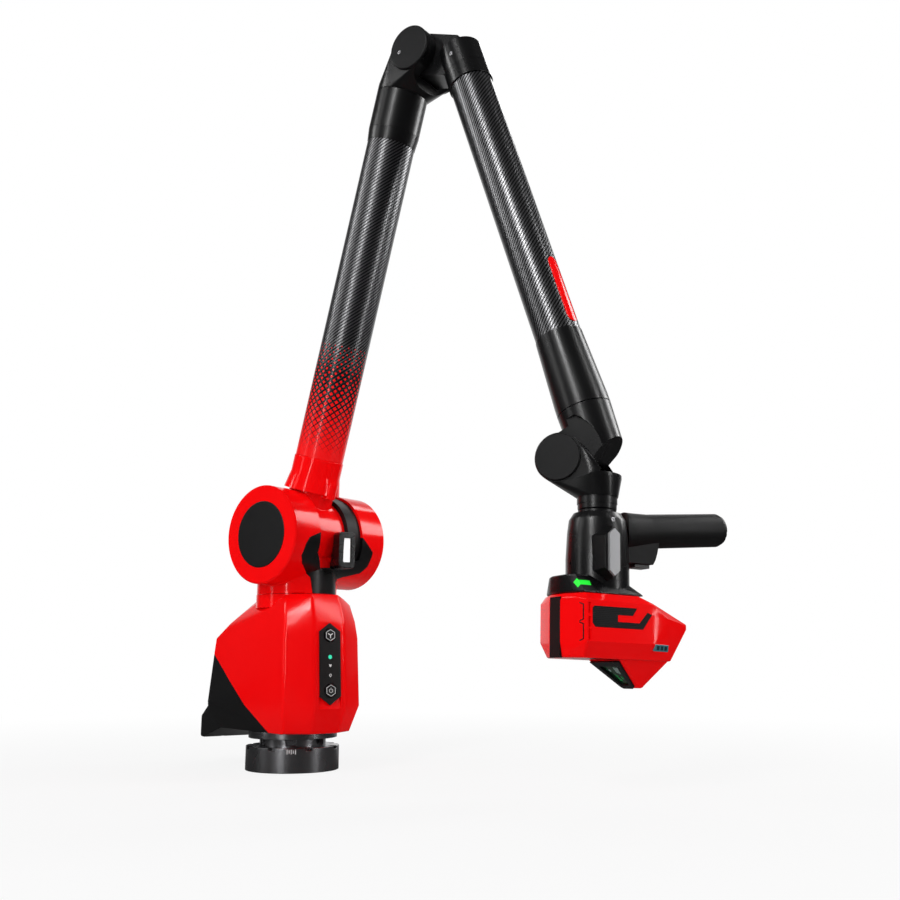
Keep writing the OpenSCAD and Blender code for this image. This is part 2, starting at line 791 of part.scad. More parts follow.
// scanner, its own X from the front edge to the tail
module at_scanner() { at_hand() translate([-scanner_front, 0, scanner_top]) children(); }
function prow(start, half, end) =
    [[start + 4.4, -front_half], [start + 4.4, front_half], [start + 12.6, half], [end, half], [end, -half], [start + 12.6, -half]];
module plate(level, thick, points) { translate([0, 0, level]) linear_extrude(height = thick) polygon(points); }
module scan_form() {
    hull() {
        plate(0, 0.01, prow(2, side - 7, scanner_length - 63));
        plate(7, scanner_height - 21, prow(0, side, scanner_length - 51));
        plate(scanner_height - 0.01, 0.01, prow(2.5, side - 9, scanner_length - 26));
        translate([scanner_length - 37, -side, 19]) cube([1, scanner_width, 2]);
        translate([scanner_length - 1, -22, 22]) cube([1, 44, 5]);
    }
    hull() {
        translate([lens_start, -26, scanner_height - 1]) cube([scanner_length - 27 - lens_start, 52, 1]);
        translate([lens_start + lens_run, -10.6, scanner_height + lens_drop - 1]) cube([6, 21.2, 1]);
    }
}
module strip_form() {
    translate([3.8, -8.4, 3]) cube([3, 16.8, scanner_height - 3]);
}
module cover_shape() {
    hull() {
        plate(cover_top - scanner_top, 0.01, [[6.6, -front_half], [6.6, front_half], [11, 22],
            [30, 15.6], [64, 15.6], [64, -15.6], [30, -15.6], [11, -22]]);
        plate(-0.01, 0.01, prow(2, side - 7, 80));
    }
}
module cover_form() { translate([-scanner_front, 0, scanner_top]) cover_shape(); }
module light_place() {
    translate([17.4, side - 15, -8.4]) rotate([45, 0, 0]) cube([14, 7, 5], center = true);
}
module scanner_cover() {
    color("black") at_scanner() difference() {
        cover_shape();
        scan_form();
        strip_form();
        light_place();
    }
}
module scanner_light() {
    color("lime") at_scanner() intersection() {
        light_place();
        cover_shape();
    }
}
module slot_place(level) {
    translate([15, side - 0.6, level]) rotate([0, 0, 60]) cube([5, 2.4, 9.4], center = true);
}
module scanner_body() {
    color("red") at_scanner() difference() {
        scan_form();
        strip_form();
        translate([0, side - 1.2, 0]) mesh_outline(4);
        sensor_place();
        lens_place() frame_outline(18);
        laser_place();
        for (level = [14, 26, 37]) slot_place(level);
        translate([30, -15, -1]) cube([50, 30, 30]);
    }
}
// figure of the perforated side panel, with its slanting notch
module mesh_outline(depth) {
    profile(0, depth) polygon([[20, 12], [66, 12], [61, 19], [45, 19], [45, 25], [68, 25], [77, 15], [82, 17], [72, 30.5],
        [21, 30.5], [18, 27], [18, 14]]);
}
module sensor_place() {
    translate([scanner_length - 41, side - 4.2, scanner_height - 11.4]) rotate([9.7, 0, -14.6])
        cube([19, 3, 6.2], center = true);
}
// the wedge's slanting front face, X down the slope and Z outwards
module lens_place() {
    angle = atan2(lens_drop, lens_run);
    translate([lens_start + lens_run / 2, 0, scanner_height + lens_drop / 2]) rotate([0, -angle, 0]) children();
}
module frame_outline(reach, thick = 4) {
    linear_extrude(height = thick, center = true)
        polygon([[-reach, -23], [reach - 2, -10], [reach, -7], [reach, 7], [reach - 2, 10], [-reach, 23]]);
}
module lens_hole(thick) {
    translate([1, 0, 0]) linear_extrude(height = thick, center = true)
        polygon([[-13, -14], [12, -6], [12, 6], [-13, 14]]);
}
module scanner_strip() { color("dimgray") at_scanner() strip_form(); }
module side_mesh() { color("dimgray") at_scanner() translate([0, side - 1.2, 0]) mesh_outline(1.2); }
module sensor_window() { color("teal") at_scanner() sensor_place(); }
module lens_frame() {
    color("dimgray") at_scanner() lens_place() difference() {
        frame_outline(18);
        lens_hole(10);
    }
}
module lens() { color("green") at_scanner() lens_place() translate([0, 0, -1]) lens_hole(2); }
module laser_place() {
    translate([34, 0, scanner_height - 1.4]) cube([7, 30, 3], center = true);
}
module laser_window() { color("dimgray") at_scanner() laser_place(); }

base_housing();
rear_pod();
base_core();
mount_pillar();
control_panel();
panel_icons();
status_led();
swivel_bearings();
mount_ring();
mode_button();
power_button();
shoulder_fork();
swivel_spindle();
spindle_nut();
shoulder_caps();
shoulder_pin();
fork_trim();
drum_liner();
light_bezel();
light_window();
shoulder_knuckle();
balance_spring();
upper_tube();
upper_taper();
upper_cuff();
upper_bearing();
elbow_fork();
elbow_caps();
elbow_pins();
elbow_screws();
upper_retainer();
forearm_head();
head_screw();
forearm_ring();
forearm_tube();
forearm_inlay();
forearm_sleeve();
forearm_bearing();
wrist_tongue_end();
forearm_retainer();
wrist_fork();
wrist_caps();
wrist_shaft();
neck_bearing();
hand_body();
hand_retainer();
hand_screws();
grip();
trigger_housing();
side_button();
trigger();
scanner_cover();
scanner_body();
scanner_strip();
side_mesh();
sensor_window();
lens_frame();
lens();
laser_window();
scanner_light();
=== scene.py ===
import bpy, bmesh, json, math
from mathutils import Matrix, Vector


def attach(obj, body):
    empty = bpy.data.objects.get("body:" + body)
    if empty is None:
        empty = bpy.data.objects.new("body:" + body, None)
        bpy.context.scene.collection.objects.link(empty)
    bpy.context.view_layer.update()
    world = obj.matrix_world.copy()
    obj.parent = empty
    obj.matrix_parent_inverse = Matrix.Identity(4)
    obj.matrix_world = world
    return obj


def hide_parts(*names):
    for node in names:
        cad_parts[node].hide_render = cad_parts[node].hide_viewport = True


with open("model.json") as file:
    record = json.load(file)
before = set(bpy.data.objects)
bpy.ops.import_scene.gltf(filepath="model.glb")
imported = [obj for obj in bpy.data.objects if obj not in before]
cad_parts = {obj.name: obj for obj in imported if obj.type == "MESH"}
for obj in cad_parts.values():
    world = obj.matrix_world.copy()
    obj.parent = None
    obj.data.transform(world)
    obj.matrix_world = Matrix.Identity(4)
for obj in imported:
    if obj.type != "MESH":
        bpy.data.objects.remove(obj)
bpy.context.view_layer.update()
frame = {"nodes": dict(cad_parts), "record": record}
scene = bpy.context.scene
nodes = frame["nodes"]
behaviour = frame["record"]["behaviour"]
bodyOf = {n: b for b, names in behaviour["bodies"].items() for n in names}
joints = {j["name"]: j for j in behaviour["joints"]}
millimetre = 0.001
white = (1, 1, 1, 1)
print("frame loaded:", len(nodes), "nodes")


# node helpers: a value is a number or a colour, or else the socket that feeds the input
def feed(tree, socket, value):
    if isinstance(value, (int, float, tuple)):
        socket.default_value = value
    else:
        tree.links.new(value, socket)


def addNode(tree, kind, **values):
    n = tree.nodes.new(kind)
    for key, v in values.items():
        if key in n.inputs:
            n.inputs[key].default_value = v
        else:
            setattr(n, key, v)
    return n


def calcIn(tree):
    def calc(op, *ins):
        n = addNode(tree, "ShaderNodeMath", operation=op)
        for k, v in enumerate(ins):
            feed(tree, n.inputs[k], v)
        return n.outputs[0]
    return calc


def mapRange(tree, value, source, target, curve="LINEAR"):
    n = addNode(tree, "ShaderNodeMapRange", interpolation_type=curve)
    feed(tree, n.inputs["Value"], value)
    for key, v in zip(("From Min", "From Max", "To Min", "To Max"), (*source, *target)):
        feed(tree, n.inputs[key], v)
    return n.outputs[0]


def mixColours(tree, share, first, second):
    n = addNode(tree, "ShaderNodeMix", data_type="RGBA")
    feed(tree, n.inputs[0], share)
    feed(tree, n.inputs[6], first)  # sockets 6 and 7 are the colours
    feed(tree, n.inputs[7], second)
    return n.outputs[2]


def mixShaders(tree, share, first, second):
    n = tree.nodes.new("ShaderNodeMixShader")
    for k, socket in enumerate((share, first.outputs[0], second.outputs[0])):
        tree.links.new(socket, n.inputs[k])
    return n


def newMaterial(name, **values):
    mat = bpy.data.materials.new(name)
    mat.use_nodes = True
    b = mat.node_tree.nodes["Principled BSDF"]
    for key, v in values.items():
        b.inputs[key].default_value = v
    return mat, mat.node_tree, b


def newGroup(name, ins, outs):
    g = bpy.data.node_groups.new(name, "ShaderNodeTree")
    for n, kind, value in ins:
        s = g.interface.new_socket(name=n, in_out="INPUT", socket_type=kind)
        s.default_value = value
    for n, kind in outs:
        g.interface.new_socket(name=n, in_out="OUTPUT", socket_type=kind)
    return g, g.nodes.new("NodeGroupInput"), g.nodes.new("NodeGroupOutput")


def placeGroup(tree, group, **values):
    n = tree.nodes.new("ShaderNodeGroup")
    n.node_tree = group
    for key, v in values.items():
        n.inputs[key.replace("_", " ")].default_value = v
    return n


# camera at the photograph's angle
viewpoint = {
    "place": (0.8684, -0.8563, 0.1264),
    "right": (0.7973, 0.6035, 0.0),
    "up": (0.1151, -0.1521, 0.9816),
    "lens": 41.76,
    "sensor": 36,
    "clip": (0.01, 100),
}


def makeCamera(v):
    cam = bpy.data.objects.new("photoCamera", bpy.data.cameras.new("photoCamera"))
    scene.collection.objects.link(cam)
    right, up = Vector(v["right"]).normalized(), Vector(v["up"]).normalized()
    back = right.cross(up).normalized()
    up = back.cross(right)
    turn = Matrix((right, up, back)).transposed().to_4x4()
    cam.matrix_world = Matrix.Translation(v["place"]) @ turn
    cam.data.lens, cam.data.sensor_width = v["lens"], v["sensor"]
    cam.data.clip_start, cam.data.clip_end = v["clip"]
    scene.camera = cam


makeCamera(viewpoint)

# studio: pale floor that keeps the shadow, white surroundings, tall strip lamps for the long highlights
studio = {
    "floorSize": 30.0,
    "floorDrop": 0.0004,
    "floorColour": (0.6, 0.6, 0.6, 1),
    "floorRoughness": 0.9,
    "floorShare": 0.35,  # how bright reflections see the floor
    "poolCentre": (0.15, 0, 0),
    "poolReach": (0.25, 1.3),
    "poolGlow": (0.86, 1.0),
    "world": 0.36,
    "backdropTo": (-0.6036, 0.7973, 0.0),
    "roomReach": (0.6, 1.0),
    "roomShade": (0.04, 1.0),
    "lamps": [
        # name, place, aim, size x, size y, watts
        ("stripFront", (0.63, -2.13, 1.15), (0.2, 0, 0.75), 0.14, 2.6, 22),
        ("stripRight", (2.15, 0.55, 1.1), (0.2, 0, 0.7), 0.12, 2.6, 15),
        ("stripLeft", (-0.85, -1.5, 0.9), (0.2, 0, 0.5), 0.25, 1.8, 3.5),
        ("boxRight", (0.97, 1.32, 1.1), (0.06, 0, 0.27), 0.42, 0.8, 10),
        ("boxFront", (0.45, -1.75, 1.75), (0.1, 0, 0.3), 0.42, 0.34, 9),
        ("boxLeft", (-1.7, -1.3, 1.6), (0.15, 0, 0.4), 0.4, 0.8, 8),
        ("backTop", (-0.6, 1.8, 2.2), (0.2, 0, 0.4), 1.2, 0.4, 8),
    ],
}


# reflections and glass see a white backdrop behind the arm and a dim room in front of it
def roomLevel(tree, direction, s):
    facing = addNode(tree, "ShaderNodeVectorMath", operation="DOT_PRODUCT")
    facing.inputs[1].default_value = s["backdropTo"]
    tree.links.new(direction, facing.inputs[0])
    return mapRange(tree, facing.outputs["Value"], s["roomReach"], s["roomShade"], "SMOOTHSTEP")


def makeFloor(s):
    h = s["floorSize"] / 2
    mesh = bpy.data.meshes.new("floor")
    mesh.from_pydata([(-h, -h, 0), (h, -h, 0), (h, h, 0), (-h, h, 0)], [], [(0, 1, 2, 3)])
    floor = bpy.data.objects.new("floor", mesh)
    scene.collection.objects.link(floor)
    floor.location.z = -s["floorDrop"]
    looks = {"Base Color": s["floorColour"], "Roughness": s["floorRoughness"]}
    mat, tree, b = newMaterial("paleFloor", **looks)
    calc = calcIn(tree)
    place = tree.nodes.new("ShaderNodeNewGeometry").outputs["Position"]
    path = tree.nodes.new("ShaderNodeLightPath").outputs
    way = addNode(tree, "ShaderNodeVectorMath", operation="NORMALIZE")
    tree.links.new(place, way.inputs[0])
    reflected = calc("MULTIPLY", roomLevel(tree, way.outputs[0], s), s["floorShare"])
    glow = addNode(tree, "ShaderNodeEmission", Color=white)
    tree.links.new(calc("MAXIMUM", path["Is Camera Ray"], reflected), glow.inputs["Strength"])
    away = addNode(tree, "ShaderNodeVectorMath", operation="DISTANCE")
    away.inputs[1].default_value = s["poolCentre"]
    tree.links.new(place, away.inputs[0])
    pool = mapRange(tree, away.outputs["Value"], s["poolReach"], s["poolGlow"], "SMOOTHSTEP")
    bent = calc("MAXIMUM", path["Is Glossy Ray"], path["Is Transmission Ray"])
    seen = calc("MAXIMUM", path["Is Camera Ray"], bent)
    mix = mixShaders(tree, calc("MULTIPLY", seen, pool), b, glow)
    tree.links.new(mix.outputs[0], tree.nodes["Material Output"].inputs[0])
    mesh.materials.append(mat)


def makeWorld(s):
    world = bpy.data.worlds.new("softStudio")
    scene.world = world
    world.use_nodes = True
    tree = world.node_tree
    tree.nodes.clear()
    soft = addNode(tree, "ShaderNodeBackground", Color=white, Strength=s["world"])
    room = addNode(tree, "ShaderNodeBackground", Strength=1)
    plain = addNode(tree, "ShaderNodeBackground", Color=white, Strength=1)
    co = tree.nodes.new("ShaderNodeTexCoord")
    tree.links.new(roomLevel(tree, co.outputs["Generated"], s), room.inputs["Color"])
    path = tree.nodes.new("ShaderNodeLightPath").outputs
    bent = calcIn(tree)("MAXIMUM", path["Is Glossy Ray"], path["Is Transmission Ray"])
    inner = mixShaders(tree, bent, soft, room)
    outer = mixShaders(tree, path["Is Camera Ray"], inner, plain)
    out = tree.nodes.new("ShaderNodeOutputWorld")
    tree.links.new(outer.outputs[0], out.inputs[0])


def makeLamps(s):
    for name, place, aim, sx, sy, watts in s["lamps"]:
        lamp = bpy.data.lights.new(name, "AREA")
        lamp.shape, lamp.size, lamp.size_y, lamp.energy = "RECTANGLE", sx, sy, watts
        ob = bpy.data.objects.new(name, lamp)
        scene.collection.objects.link(ob)
        ob.location = place
        ob.rotation_euler = (Vector(aim) - Vector(place)).to_track_quat("-Z", "Y").to_euler()


makeFloor(studio)
makeWorld(studio)
makeLamps(studio)
scene.view_settings.view_transform = "Standard"
print("camera and studio ready")

# a moulded or lacquered skin: uneven colour, uneven gloss and a fine bump
skin = {
    "patchScale": 14.0,
    "patchDetail": 3.0,
    "patchReach": (0.3, 0.7),
    "grainDetail": 2.0,
    "grainHeight": 0.0004,
}


def makeSkin(d):
    g, i, o = newGroup(
        "skinGrain",
        [
            ("Colour", "NodeSocketColor", (0.5, 0.5, 0.5, 1)),
            ("Variation", "NodeSocketFloat", 0.05),
            ("Gloss Low", "NodeSocketFloat", 0.2),
            ("Gloss High", "NodeSocketFloat", 0.3),
            ("Grain Size", "NodeSocketFloat", 900.0),
            ("Grain Depth", "NodeSocketFloat", 0.1),
        ],
        [("Colour", "NodeSocketColor"), ("Roughness", "NodeSocketFloat"), ("Normal", "NodeSocketVector")],
    )
    link, calc = g.links.new, calcIn(g)
    co = g.nodes.new("ShaderNodeTexCoord")
    broad = addNode(g, "ShaderNodeTexNoise", Scale=d["patchScale"], Detail=d["patchDetail"])
    fine = addNode(g, "ShaderNodeTexNoise", Detail=d["grainDetail"])
    link(co.outputs["Object"], broad.inputs["Vector"])
    link(co.outputs["Object"], fine.inputs["Vector"])
    link(i.outputs["Grain Size"], fine.inputs["Scale"])
    patch = broad.outputs["Fac"]
    tint = addNode(g, "ShaderNodeVectorMath", operation="SCALE")
    link(i.outputs["Colour"], tint.inputs[0])
    swing = calc("MULTIPLY_ADD", calc("SUBTRACT", patch, 0.5), i.outputs["Variation"], 1.0)
    link(swing, tint.inputs["Scale"])
    link(tint.outputs[0], o.inputs["Colour"])
    gloss = mapRange(g, patch, d["patchReach"], (i.outputs["Gloss Low"], i.outputs["Gloss High"]))
    link(gloss, o.inputs["Roughness"])
    bump = addNode(g, "ShaderNodeBump", Distance=d["grainHeight"])
    link(i.outputs["Grain Depth"], bump.inputs["Strength"])
    link(fine.outputs["Fac"], bump.inputs["Height"])
    link(bump.outputs[0], o.inputs["Normal"])
    return g


skinGroup = makeSkin(skin)


def skinMaterial(name, colour, low, high, size, depth, variation, values):
    mat, tree, b = newMaterial(name, **values)
    s = placeGroup(tree, skinGroup, Colour=(*colour, 1), Variation=variation, Gloss_Low=low, Gloss_High=high,
                   Grain_Size=size, Grain_Depth=depth)
    tree.links.new(s.outputs["Colour"], b.inputs["Base Color"])
    tree.links.new(s.outputs["Roughness"], b.inputs["Roughness"])
    tree.links.new(s.outputs["Normal"], b.inputs["Normal"])
    mat.diffuse_color = (*colour, 1)
    return mat


# small lights, a little uneven like a lens over a diode
lit = {"patchScale": 300.0, "dimmest": 0.85, "roughness": 0.3}


def glowMaterial(name, colour, strength, d=lit):
    mat, tree, b = newMaterial(name, Roughness=d["roughness"])
    co = tree.nodes.new("ShaderNodeTexCoord")
    patch = addNode(tree, "ShaderNodeTexNoise", Scale=d["patchScale"])
    ramp = tree.nodes.new("ShaderNodeValToRGB")
    ramp.color_ramp.elements[0].color = (*[c * d["dimmest"] for c in colour], 1)
    ramp.color_ramp.elements[1].color = (*colour, 1)
    tree.links.new(co.outputs["Object"], patch.inputs["Vector"])
    tree.links.new(patch.outputs["Fac"], ramp.inputs["Fac"])
    tree.links.new(ramp.outputs["Color"], b.inputs["Base Color"])
    tree.links.new(ramp.outputs["Color"], b.inputs["Emission Color"])
    b.inputs["Emission Strength"].default_value = strength
    return mat


# carbon cloth on a tube: UV in metres, U round the tube and V along it
cloth = {
    # weft and warp are one fibre; the grey metal weft against the black warp stands in for the sheen that the
    # fibre's direction gives
    "weft": (0.28, 0.28, 0.29, 1),
    "warp": (0.0025, 0.0025, 0.0028, 1),
    "tows": (4.0, 2.0),  # two over and two under
    # crown bends each tow's height, which shapes the bump and, by the share below, darkens the colour toward
    # the tow's edges as painted shade
    "crown": 3.2,
    "crownShadeShare": 0.75,
    "fibreScale": 2600.0,
    "fibreDetail": 2.0,
    "fibreShare": 0.5,
    "weftRoughness": 0.36,
    "warpRoughness": 0.30,
    "bumpStrength": 0.06,
    "bumpHeight": 0.00025,
    "lacquer": {"Specular IOR Level": 0.2, "Coat Weight": 0.25, "Coat Roughness": 0.12, "Coat IOR": 1.35},
}


# how far a repeating coordinate is from the middle of its cell
def offMiddle(calc, x):
    return calc("ABSOLUTE", calc("SUBTRACT", calc("FRACT", x), 0.5))


def makeTwill(d):
    g, i, o = newGroup(
        "twillCloth",
        [("Tow", "NodeSocketFloat", 0.0011)],
        [("Colour", "NodeSocketColor"), ("Roughness", "NodeSocketFloat"), ("Metallic", "NodeSocketFloat"),
         ("Normal", "NodeSocketVector")],
    )
    link, calc = g.links.new, calcIn(g)
    co = g.nodes.new("ShaderNodeUVMap")
    xyz = g.nodes.new("ShaderNodeSeparateXYZ")
    link(co.outputs[0], xyz.inputs[0])
    u, v = (calc("DIVIDE", xyz.outputs[k], i.outputs["Tow"]) for k in (0, 1))
    step = calc("SUBTRACT", calc("FLOOR", u), calc("FLOOR", v))
    repeat, over = d["tows"]
    warp = calc("LESS_THAN", calc("FLOORED_MODULO", step, repeat), over)
    pick = addNode(g, "ShaderNodeMix", data_type="FLOAT")
    link(warp, pick.inputs[0])
    link(offMiddle(calc, v), pick.inputs[2])
    link(offMiddle(calc, u), pick.inputs[3])
    across = pick.outputs[0]
    height = calc("SUBTRACT", 1.0, calc("MULTIPLY", across, calc("MULTIPLY", across, d["crown"])))
    fibre = addNode(g, "ShaderNodeTexNoise", Scale=d["fibreScale"], Detail=d["fibreDetail"])
    link(co.outputs[0], fibre.inputs["Vector"])
    # each tow's colour darkens toward its edges where it curves down, which is painted shade; the fibre noise
    # is the cloth's own uneven tone
    shade = addNode(g, "ShaderNodeVectorMath", operation="SCALE")
    link(mixColours(g, warp, d["weft"], d["warp"]), shade.inputs[0])
    crown = calc("MULTIPLY", height, d["crownShadeShare"])
    link(calc("MULTIPLY_ADD", fibre.outputs["Fac"], d["fibreShare"], crown), shade.inputs["Scale"])
    link(shade.outputs[0], o.inputs["Colour"])
    smoother = d["warpRoughness"] - d["weftRoughness"]
    link(calc("MULTIPLY_ADD", warp, smoother, d["weftRoughness"]), o.inputs["Roughness"])
    link(calc("SUBTRACT", 1.0, warp), o.inputs["Metallic"])
    bump = addNode(g, "ShaderNodeBump", Strength=d["bumpStrength"], Distance=d["bumpHeight"])
    link(height, bump.inputs["Height"])
    link(bump.outputs[0], o.inputs["Normal"])
    return g


# red cells on a dark print that shrink along the tube until the cloth is bare
lattice = {
    "cell": 0.00788,
    "start": 0.004,
    "end": 0.133,
    "cellHalf": (0.51, 0.10),
    "printFade": (0.75, 1.02),  # shares of the end
    "printCover": (0.9, 0.0),
    "print": (0.003, 0.003, 0.004),
}


def makeLattice(d):
    g, i, o = newGroup(
        "latticeFade",
        [("Cell", "NodeSocketFloat", d["cell"]), ("Start", "NodeSocketFloat", d["start"]),
         ("End", "NodeSocketFloat", d["end"])],
        [("Mask", "NodeSocketFloat"), ("Print", "NodeSocketFloat")],
    )
    link, calc = g.links.new, calcIn(g)
    co = g.nodes.new("ShaderNodeUVMap")
    xyz = g.nodes.new("ShaderNodeSeparateXYZ")
    link(co.outputs[0], xyz.inputs[0])
    u, v = xyz.outputs[0], xyz.outputs[1]
    cell, start, end = (i.outputs[key] for key in ("Cell", "Start", "End"))
    slants = [offMiddle(calc, calc("DIVIDE", calc(op, u, v), cell)) for op in ("ADD", "SUBTRACT")]
    reach = mapRange(g, v, (start, end), d["cellHalf"])
    inside = calc("LESS_THAN", v, end)
    link(calc("MULTIPLY", inside, calc("LESS_THAN", calc("MAXIMUM", *slants), reach)), o.inputs["Mask"])
    fade = [calc("MULTIPLY", end, share) for share in d["printFade"]]
    link(mapRange(g, v, fade, d["printCover"]), o.inputs["Print"])
    return g


twillGroup = makeTwill(cloth)
latticeGroup = makeLattice(lattice)


def twillMaterial(name, tow, red=None):
    mat, tree, b = newMaterial(name, **cloth["lacquer"])
    t = placeGroup(tree, twillGroup, Tow=tow)
    tree.links.new(t.outputs["Normal"], b.inputs["Normal"])
    tree.links.new(t.outputs["Roughness"], b.inputs["Roughness"])
    colour, bare = t.outputs["Colour"], t.outputs["Metallic"]
    if red is not None:
        m = placeGroup(tree, latticeGroup)
        for key, over in (("Print", lattice["print"]), ("Mask", red)):
            colour = mixColours(tree, m.outputs[key], colour, (*over, 1))
            less = addNode(tree, "ShaderNodeMath", operation="SUBTRACT", use_clamp=True)
            tree.links.new(bare, less.inputs[0])
            tree.links.new(m.outputs[key], less.inputs[1])
            bare = less.outputs[0]
    tree.links.new(colour, b.inputs["Base Color"])
    tree.links.new(bare, b.inputs["Metallic"])
    return mat


# the hand's own directions: toward the scanner's tip, toward the viewer's side, along the scanner
handDown = -Vector(joints["trigger_press"]["axis"])
handNear = -Vector(joints["side_press"]["axis"])
handAlong = handNear.cross(handDown).normalized()

# small round holes in staggered rows over the scanner's side panel, drawn as a bump with the holes painted
# darker than the panel: painted shade inside the holes
perforation = {
    "pitch": 0.0016,
    "hole": 0.31,
    "stagger": 0.5,
    "holeShadeColour": (0.001, 0.001, 0.001, 1),
    "panelColour": (0.012, 0.012, 0.013, 1),
    "bumpStrength": 0.6,
    "bumpHeight": 0.0005,
    "looks": {"Roughness": 0.45, "Specular IOR Level": 0.15},
}


def makePerforation(d):
    g, i, o = newGroup(
        "staggeredHoles",
        [("Along", "NodeSocketVector", (1, 0, 0)), ("Down", "NodeSocketVector", (0, 0, 1)),
         ("Pitch", "NodeSocketFloat", d["pitch"])],
        [("Colour", "NodeSocketColor"), ("Normal", "NodeSocketVector")],
    )
    link, calc = g.links.new, calcIn(g)
    co = g.nodes.new("ShaderNodeTexCoord")
    places = []
    for key in ("Along", "Down"):
        dot = addNode(g, "ShaderNodeVectorMath", operation="DOT_PRODUCT")
        link(co.outputs["Object"], dot.inputs[0])
        link(i.outputs[key], dot.inputs[1])
        places.append(calc("DIVIDE", dot.outputs["Value"], i.outputs["Pitch"]))
    u, v = places
    oddRow = calc("FLOORED_MODULO", calc("FLOOR", v), 2.0)
    u = calc("ADD", u, calc("MULTIPLY", oddRow, d["stagger"]))
    squares = [calc("MULTIPLY", off, off) for off in (offMiddle(calc, u), offMiddle(calc, v))]
    solid = calc("GREATER_THAN", calc("SQRT", calc("ADD", *squares)), d["hole"])
    # the holes take the darker colour: painted shade inside them
    link(mixColours(g, solid, d["holeShadeColour"], d["panelColour"]), o.inputs["Colour"])
    bump = addNode(g, "ShaderNodeBump", Strength=d["bumpStrength"], Distance=d["bumpHeight"])
    link(solid, bump.inputs["Height"])
    link(bump.outputs[0], o.inputs["Normal"])
    return g


def meshMaterial(d):
    mat, tree, b = newMaterial("perforatedPanel", **d["looks"])
    h = placeGroup(tree, makePerforation(d), Along=handAlong, Down=handDown)
    tree.links.new(h.outputs["Colour"], b.inputs["Base Color"])
    tree.links.new(h.outputs["Normal"], b.inputs["Normal"])
    return mat


redColour = (0.93, 0.002, 0.003)
dim, metal = {"Specular IOR Level": 0.26}, {"Metallic": 1.0}
skins = {
    # colour, gloss low and high, grain size and depth, variation, other sockets
    "redLacquer": (redColour, 0.10, 0.16, 700, 0.006, 0.05, {"Specular IOR Level": 0.20}),
    "blackGloss": ((0.004, 0.004, 0.0044), 0.24, 0.32, 1200, 0.012, 0.12, {"Specular IOR Level": 0.5}),
    "blackMatte": ((0.006, 0.006, 0.0064), 0.44, 0.56, 1500, 0.15, 0.12, dim),
    "capSatin": ((0.007, 0.007, 0.0075), 0.34, 0.44, 1600, 0.10, 0.12, dim),
    "panelSatin": ((0.008, 0.0083, 0.0088), 0.40, 0.50, 1500, 0.10, 0.12, dim),
    "darkMetal": ((0.24, 0.24, 0.25), 0.24, 0.30, 900, 0.01, 0.10, metal),
    "alloy": ((0.6, 0.6, 0.62), 0.3, 0.45, 900, 0.08, 0.1, metal),
    "steel": ((0.62, 0.62, 0.64), 0.2, 0.3, 900, 0.05, 0.1, metal),
    "silverFace": ((0.36, 0.36, 0.37), 0.3, 0.4, 1200, 0.06, 0.08, {"Metallic": 0.5}),
    "whitePrint": ((0.75, 0.75, 0.75), 0.4, 0.5, 900, 0.02, 0.12, {}),
    "tealWindow": ((0.05, 0.16, 0.19), 0.08, 0.14, 600, 0.02, 0.12, {}),
    "lensGlass": ((0.006, 0.035, 0.014), 0.04, 0.08, 120, 0.01, 1.2, {"Coat Weight": 0.6}),
    # painted reflections for the lens: a pale glint and a green reflection, laid on the glass as flat figures
    "lensGlint": ((0.20, 0.27, 0.25), 0.10, 0.2, 300, 0.01, 0.8, {}),
    "lensGreenReflection": ((0.008, 0.22, 0.05), 0.10, 0.2, 300, 0.01, 0.8, {}),
    "sensorCell": ((0.010, 0.028, 0.034), 0.08, 0.14, 600, 0.02, 0.12, {}),
}
lights = {
    # colour, strength
    "whiteLight": ((0.95, 0.95, 0.95), 0.5),
    "greenLight": ((0.01, 0.70, 0.03), 0.6),
    "tealLed": ((0.02, 0.62, 0.36), 0.6),
}
finishes = {name: skinMaterial(name, *values) for name, values in skins.items()}
finishes.update({name: glowMaterial(name, *values) for name, values in lights.items()})
finishes["perforated"] = meshMaterial(perforation)
print("finishes mixed:", len(finishes))

# what each node wears, which inner ones keep their own mesh, and how round long edges are (metres)
wear = {
    "redLacquer": ["base_housing", "shoulder_fork", "shoulder_knuckle", "forearm_inlay", "scanner_body"],
    "blackGloss": ["upper_taper", "upper_cuff", "elbow_fork", "forearm_head", "forearm_ring",
                   "forearm_sleeve", "wrist_tongue_end", "wrist_fork", "hand_body", "scanner_cover",
                   "lens_frame", "light_bezel", "trigger", "fork_trim"],
    "blackMatte": ["rear_pod", "grip", "trigger_housing", "scanner_strip", "drum_liner"],
    "perforated": ["side_mesh"],
    "capSatin": ["elbow_caps", "wrist_caps", "shoulder_caps"],
    "panelSatin": ["control_panel", "mode_button", "power_button", "panel_icons"],
    "darkMetal": ["mount_ring", "mount_pillar"],
    "alloy": ["base_core"],
    "steel": ["swivel_bearings", "swivel_spindle", "spindle_nut", "shoulder_pin", "balance_spring",
              "upper_bearing", "elbow_pins", "elbow_screws", "upper_retainer", "head_screw",
              "forearm_bearing", "forearm_retainer", "wrist_shaft", "neck_bearing", "hand_retainer",
              "hand_screws"],
    "silverFace": ["side_button"],
    "whiteLight": ["light_window"],
    "greenLight": ["scanner_light"],
    "tealLed": ["status_led"],
    "tealWindow": ["sensor_window", "laser_window"],
    "lensGlass": ["lens"],
}
hidden = {"swivel_bearings", "swivel_spindle", "spindle_nut", "balance_spring", "upper_bearing",
          "upper_retainer", "forearm_bearing", "forearm_retainer", "neck_bearing", "hand_retainer",
          "base_core"}
